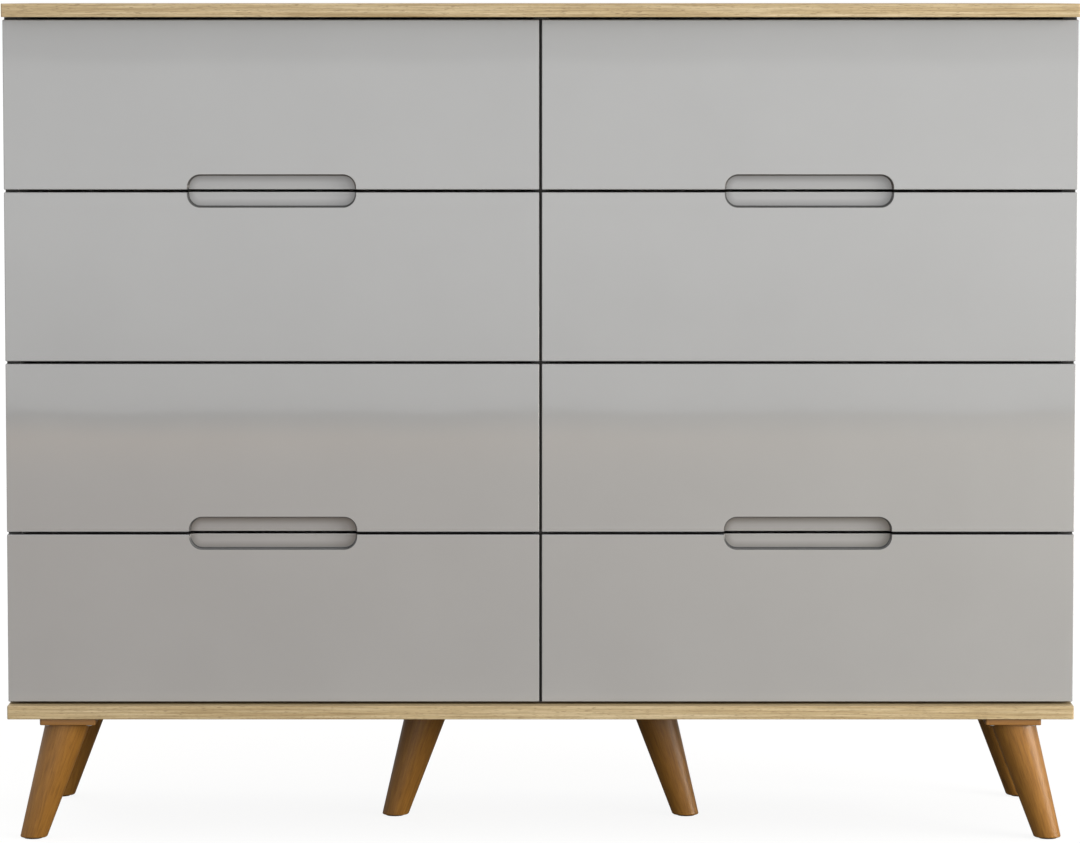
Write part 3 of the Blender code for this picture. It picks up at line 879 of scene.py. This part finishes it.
stage = {"floorFade": (0.9, 2.2), "floorGlow": 0.86, "floorLight": 1.04, "shadowTone": "#f4f3f1",
         "floorHalf": 60.0, "mirrorHalf": 9.0, "mirrorLight": 1.5, "bounce": 0.25,
         "shadeSize": (1.6, 1.5), "shadeCentre": 0.9, "shadeFade": (0.7, 1.3), "shadeLeft": 0.05,
         "wallDistance": 6.26, "wallSize": (4.5, 1.25), "wallLight": 2.5,
         "horizonGlow": 0.40, "ceilingGlow": 1.0}


# One flat sheet that belongs to the stage.
def flatSheet(name, corners, material):
    mesh = bpy.data.meshes.new(name)
    mesh.from_pydata(corners, [], [(0, 1, 2, 3)])
    mesh.materials.append(material)
    sheet = bpy.data.objects.new(name, mesh)
    bpy.context.scene.collection.objects.link(sheet)
    return sheet


# The corners of a level square round the middle of the room.
def levelSquare(half, z):
    return [(-half, -half, z), (half, -half, z), (half, half, z), (-half, half, z)]


# The pale floor that is seen: soft shadows near the dresser, plain white further out.
def makePaleFloor():
    material, tree = newMaterial("pale studio floor")
    place = addNode(tree, "TexCoord")
    reach = addNode(tree, "VectorMath", links={0: (place, "Object")}, operation="LENGTH")
    near, far = stage["floorFade"]
    fade = addNode(tree, "MapRange",
                   {"From Min": near, "From Max": far, "To Min": stage["floorGlow"], "To Max": 1.0},
                   {"Value": (reach, "Value")}, interpolation_type="SMOOTHSTEP")
    paint = addNode(tree, "BsdfDiffuse", {"Color": linear(stage["shadowTone"])})
    glow = addNode(tree, "Emission", {"Color": (1, 1, 1, 1), "Strength": stage["floorLight"]})
    mix = addNode(tree, "MixShader",
                  links={0: (fade, "Result"), 1: (paint, "BSDF"), 2: (glow, "Emission")})
    addNode(tree, "OutputMaterial", links={"Surface": (mix, "Shader")})
    floor = flatSheet("pale_floor", levelSquare(stage["floorHalf"], 0.0), material)
    floor.visible_diffuse = False
    floor.visible_glossy = False
    floor.visible_shadow = False
    floor.visible_transmission = False


# The warm floor that only the gloss sees, a glowing sheet with a painted reflection: dark against the
# far wall, then a warm glow, then calmer, and plain grey close to the dresser, lighter on the right
# than on the left. Bounced light sees the same sheet as a plain dim grey glow. Both are painted darker
# in an ellipse under and behind the dresser, a painted shadow, so that no light rims the legs.
def makeRoomFloor():
    material, tree = newMaterial("warm floor in the mirror image")
    place = addNode(tree, "TexCoord")
    parts = addNode(tree, "SeparateXYZ", links={"Vector": (place, "Object")})
    depth = addNode(tree, "MapRange", {"From Min": -6.6, "From Max": 0.0}, {"Value": (parts, "Y")})
    aside = addNode(tree, "MapRange", {"From Min": -0.8, "From Max": 1.6}, {"Value": (parts, "X")})
    leftTone = setRamp(addNode(tree, "ValToRGB", links={"Fac": (depth, "Result")}),
                       (0.01, "#1a1614"), (0.05, "#6e5a48"), (0.13, "#efbe84"), (0.28, "#bc956e"),
                       (0.76, "#b8926e"), (0.84, "#b4b2ae"))
    rightTone = setRamp(addNode(tree, "ValToRGB", links={"Fac": (depth, "Result")}),
                        (0.01, "#a08c78"), (0.13, "#f0d8b4"), (0.28, "#e8d4b0"), (0.76, "#dcc8a8"),
                        (0.84, "#c8c6c2"))
    tone = addNode(tree, "Mix",
                   links={0: (aside, "Result"), 6: (leftTone, "Color"), 7: (rightTone, "Color")},
                   data_type="RGBA")
    path = addNode(tree, "LightPath")
    # painted shadow: an ellipse under and behind the dresser where the sheet glows less
    wide, deep = stage["shadeSize"]
    scaled = addNode(tree, "Mapping",
                     {"Location": (0, -stage["shadeCentre"] / deep, 0), "Scale": (1 / wide, 1 / deep, 1)},
                     {"Vector": (place, "Object")})
    reach = addNode(tree, "VectorMath", links={0: (scaled, "Vector")}, operation="LENGTH")
    near, far = stage["shadeFade"]
    bounced, shine = (
        addNode(tree, "MapRange",
                {"From Min": near, "From Max": far, "To Min": stage["shadeLeft"] * most, "To Max": most},
                {"Value": (reach, "Value")}, interpolation_type="SMOOTHSTEP")
        for most in (stage["bounce"], stage["mirrorLight"]))
    mirrored = addNode(tree, "Emission", links={"Color": (tone, 2), "Strength": (shine, "Result")})
    dim = addNode(tree, "Emission", {"Color": linear("#f4f0ea")},
                  {"Strength": (bounced, "Result")})
    mix = addNode(tree, "MixShader",
                  links={0: (path, "Is Diffuse Ray"), 1: (mirrored, "Emission"), 2: (dim, "Emission")})
    addNode(tree, "OutputMaterial", links={"Surface": (mix, "Shader")})
    floor = flatSheet("mirrored_floor", levelSquare(stage["mirrorHalf"], -2 * mm), material)
    floor.visible_camera = False
    floor.visible_shadow = False


# The bright wall behind the camera that the gloss fronts mirror.
def makeMirrorWall():
    material, tree = newMaterial("bright wall in the mirror image")
    place = addNode(tree, "TexCoord")
    parts = addNode(tree, "SeparateXYZ", links={"Vector": (place, "Object")})
    height = addNode(tree, "MapRange", {"From Min": 0.0, "From Max": 2.0}, {"Value": (parts, "Z")})
    level = setRamp(addNode(tree, "ValToRGB", links={"Fac": (height, "Result")}),
                    (0.0, "#bcbcbc"), (0.02, "#d0d0d0"), (0.22, "#f6f6f6"), (0.425, "#fafafa"),
                    (0.435, "#d0d0d0"))
    glow = addNode(tree, "Emission", {"Strength": stage["wallLight"]}, {"Color": (level, "Color")})
    addNode(tree, "OutputMaterial", links={"Surface": (glow, "Emission")})
    y = cadBounds[0][1] - stage["wallDistance"]
    half, tall = stage["wallSize"]
    corners = [(-half, y, 0), (half, y, 0), (half, y, tall), (-half, y, tall)]
    wall = flatSheet("mirror_wall", corners, material)
    wall.visible_camera = False
    wall.visible_shadow = False


# The room's own light, stronger overhead than at the horizon, and plain white behind the dresser.
def makeWorld():
    world = bpy.data.worlds.new("plain room")
    world.use_nodes = True
    tree = world.node_tree
    tree.nodes.clear()
    path = addNode(tree, "LightPath")
    way = addNode(tree, "TexCoord")
    parts = addNode(tree, "SeparateXYZ", links={"Vector": (way, "Generated")})
    height = addNode(tree, "MapRange",
                     {"From Min": 0.0, "From Max": 0.8, "To Min": stage["horizonGlow"],
                      "To Max": stage["ceilingGlow"]}, {"Value": (parts, "Z")})
    room = addNode(tree, "Background", {"Color": linear("#fbfbfa")},
                   {"Strength": (height, "Result")})
    white = addNode(tree, "Background", {"Color": (1, 1, 1, 1), "Strength": 1.0})
    mix = addNode(tree, "MixShader",
                  links={0: (path, "Is Camera Ray"), 1: (room, "Background"), 2: (white, "Background")})
    addNode(tree, "OutputWorld", links={"Surface": (mix, "Shader")})
    bpy.context.scene.world = world


# Softboxes. One that isn't mirrored lights the dresser but never shows in its gloss.
softboxes = {
    "window_key": {"place": (3.7, -2.3, 1.5), "aim": (0, -0.1, 0.4), "size": (2.6, 2.2), "power": 143.0,
                   "tone": "#fffcf6", "mirrored": False},
    "front_fill": {"place": (0, -6.46, 2.125), "aim": (0, 0, 2.125), "size": (9.0, 1.75), "power": 82.0,
                   "mirrored": False},
    "low_right": {"place": (2.4, -0.7, 0.3), "aim": (0.6, -0.16, 0.08), "size": (1.6, 0.4), "power": 3.8,
                  "tone": "#fff8ee", "spread": 80.0},
    "left_fill": {"place": (-3.2, -1.2, 1.4), "aim": (0, 0, 0.45), "size": (1.6, 1.8), "power": 4.0,
                  "tone": "#f6f8ff"},
    "rear_fill": {"place": (-2.4, 3.6, 2.2), "aim": (0, 0, 0.5), "size": (2.4, 1.8), "power": 25.0,
                  "mirrored": False},
}


# A rectangular lamp, turned and tilted until it looks from its place at its aim.
def areaLight(name, place, aim, size, power, tone="#ffffff", spread=180.0, mirrored=True):
    lamp = bpy.data.lights.new(name, "AREA")
    lamp.spread = math.radians(spread)
    lamp.shape = "RECTANGLE"
    lamp.size, lamp.size_y = size
    lamp.energy = power
    lamp.color = linear(tone)[:3]
    light = bpy.data.objects.new(name, lamp)
    light.location = place
    aimed = np.array(aim, float) - np.array(place, float)
    yaw = math.atan2(-aimed[0], aimed[1])
    tilt = math.atan2(math.hypot(aimed[0], aimed[1]), -aimed[2])
    light.rotation_euler = (tilt, 0, yaw)
    light.visible_camera = False
    light.visible_glossy = mirrored
    bpy.context.scene.collection.objects.link(light)


makePaleFloor()
makeRoomFloor()
makeMirrorWall()
makeWorld()
for name, softbox in softboxes.items():
    areaLight(name, **softbox)


view = {"lens": 166.45, "distance": 5.9392, "height": 1.0154, "x": -0.0006, "pitch": 4.875}
camera = bpy.data.objects.new("camera", bpy.data.cameras.new("camera"))
camera.data.sensor_width = 36.0
camera.data.lens = view["lens"]
camera.data.clip_end = 200.0
camera.location = (view["x"], cadBounds[0][1] - view["distance"], view["height"])
camera.rotation_euler = (math.radians(90 - view["pitch"]), 0, 0)
bpy.context.scene.collection.objects.link(camera)
bpy.context.scene.camera = camera
bpy.context.scene.view_settings.view_transform = "Standard"
print("stage made")
